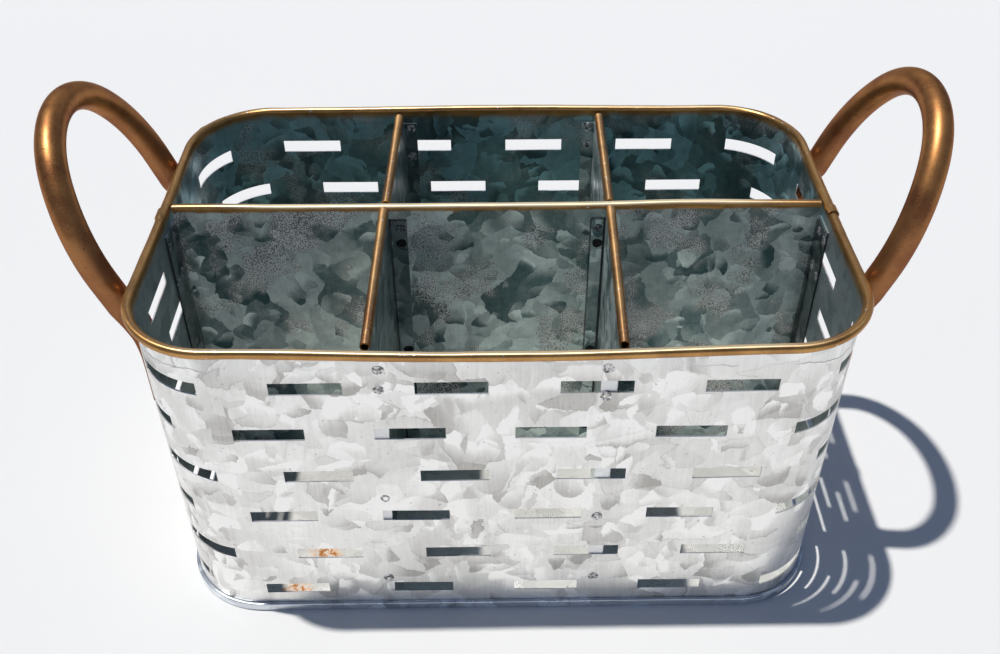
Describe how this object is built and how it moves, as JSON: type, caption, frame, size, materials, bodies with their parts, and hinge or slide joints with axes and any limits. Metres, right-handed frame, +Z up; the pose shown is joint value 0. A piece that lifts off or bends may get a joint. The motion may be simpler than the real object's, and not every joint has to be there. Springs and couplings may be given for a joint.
{
  "type": "cutlery holder",
  "caption": "Open-topped rectangular sheet-metal cutlery caddy with rounded corners, slotted walls, rolled copper-coloured rims, crossed dividers and tilted tube handles at the ends.",
  "frame": {"origin": "middle of the base, on the surface it stands on", "axes": "+X along the length to the right handle, +Y to the back (the long divider sits behind the middle), +Z up"},
  "size_m": [0.378, 0.1954, 0.2255],
  "materials": {
    "galvanised": "hot-dip galvanised sheet with leafy spangle; rolled edges painted copper",
    "copper_paint": "antique copper paint, satin metallic"
  },
  "bodies": {
    "root": {"front_shell": "galvanised", "back_shell": "galvanised", "floor_pan": "galvanised", "long_divider": "galvanised", "front_left_divider": "galvanised", "front_right_divider": "galvanised", "back_left_divider": "galvanised", "back_right_divider": "galvanised", "front_left_wall_welds": "galvanised", "front_right_wall_welds": "galvanised", "back_left_wall_welds": "galvanised", "back_right_wall_welds": "galvanised", "left_cross_welds": "galvanised", "right_cross_welds": "galvanised", "left_end_welds": "galvanised", "right_end_welds": "galvanised", "left_handle": "copper_paint", "right_handle": "copper_paint", "left_handle_front_weld": "copper_paint", "left_handle_back_weld": "copper_paint", "right_handle_front_weld": "copper_paint", "right_handle_back_weld": "copper_paint"}
  },
  "joints": []
}
